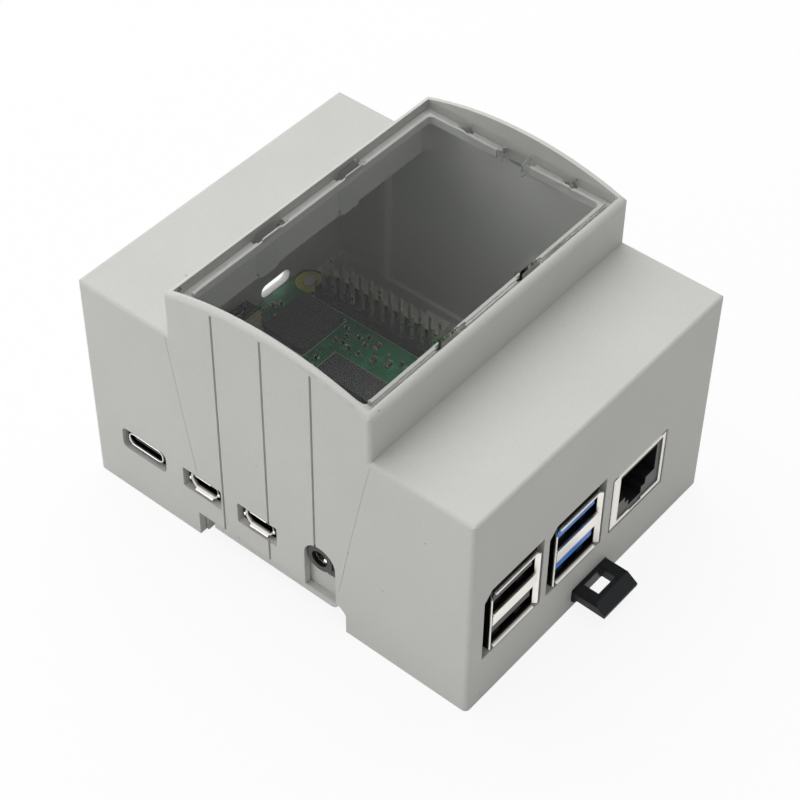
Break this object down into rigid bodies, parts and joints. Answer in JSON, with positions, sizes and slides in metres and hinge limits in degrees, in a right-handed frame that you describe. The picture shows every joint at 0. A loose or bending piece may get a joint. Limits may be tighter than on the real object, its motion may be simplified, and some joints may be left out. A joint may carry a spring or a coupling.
{
  "type": "din rail enclosure",
  "caption": "Stepped DIN rail enclosure with a clear hinged window lid, a sprung rail clip and a single-board computer whose sockets open through its near and end walls.",
  "frame": {"origin": "centre of the flat face of the base that sits on the rail, half way along and across the case", "axes": "+X points across the rail to the end with the clip, +Y along the rail away from the face with the small sockets, +Z away from the rail to the window lid"},
  "size_m": [0.0973, 0.071, 0.0628],
  "materials": {
    "case_grey": "fine matte grain",
    "base_grey": "fine matte grain",
    "lid_clear": "clear, glossy",
    "clip_black": "satin",
    "board_green": "solder mask, satin",
    "shell_metal": "bright nickel plate",
    "insulator_black": "moulded, satin",
    "insulator_blue": "moulded, smooth",
    "pin_gold": "thin gold plate",
    "chip_black": "moulded, matte",
    "heat_spreader": "matte plated",
    "coil_grey": "pressed ferrite",
    "connector_beige": "moulded, satin"
  },
  "bodies": {
    "housing": {"cover": "case_grey", "base": "base_grey", "circuit_board": "board_green", "usb_c_shell": "shell_metal", "usb_c_tongue": "insulator_black", "hdmi_shells": "shell_metal", "hdmi_tongues": "insulator_black", "audio_jack": "insulator_black", "audio_barrel": "shell_metal", "usb2_shell": "shell_metal", "usb2_tongues": "insulator_black", "usb3_shell": "shell_metal", "usb3_tongues": "insulator_blue", "lan_shell": "shell_metal", "lan_insert": "insulator_black", "pin_header": "insulator_black", "header_pins": "pin_gold", "poe_header": "insulator_black", "poe_pins": "pin_gold", "processor": "heat_spreader", "memory_chip": "chip_black", "radio_shield": "shell_metal", "usb_controller": "chip_black", "lan_chip": "chip_black", "power_chip": "chip_black", "power_coils": "coil_grey", "display_connector": "connector_beige", "display_latch": "insulator_black", "camera_connector": "connector_beige", "camera_latch": "insulator_black", "card_socket": "shell_metal"},
    "lid": {"window_lid": "lid_clear"},
    "clip": {"rail_clip": "clip_black"}
  },
  "joints": [
    {"name": "lid_hinge", "type": "hinge", "parent": "housing", "child": "lid", "pos_m": [0, -0.03275, 0.05415], "axis": [1, 0, 0], "range_deg": [0, 90]},
    {"name": "clip_slide", "type": "slide", "parent": "housing", "child": "clip", "axis": [1, 0, 0], "range_m": [0, 0.0035], "stiffness_N_per_m": 2000}
  ]
}
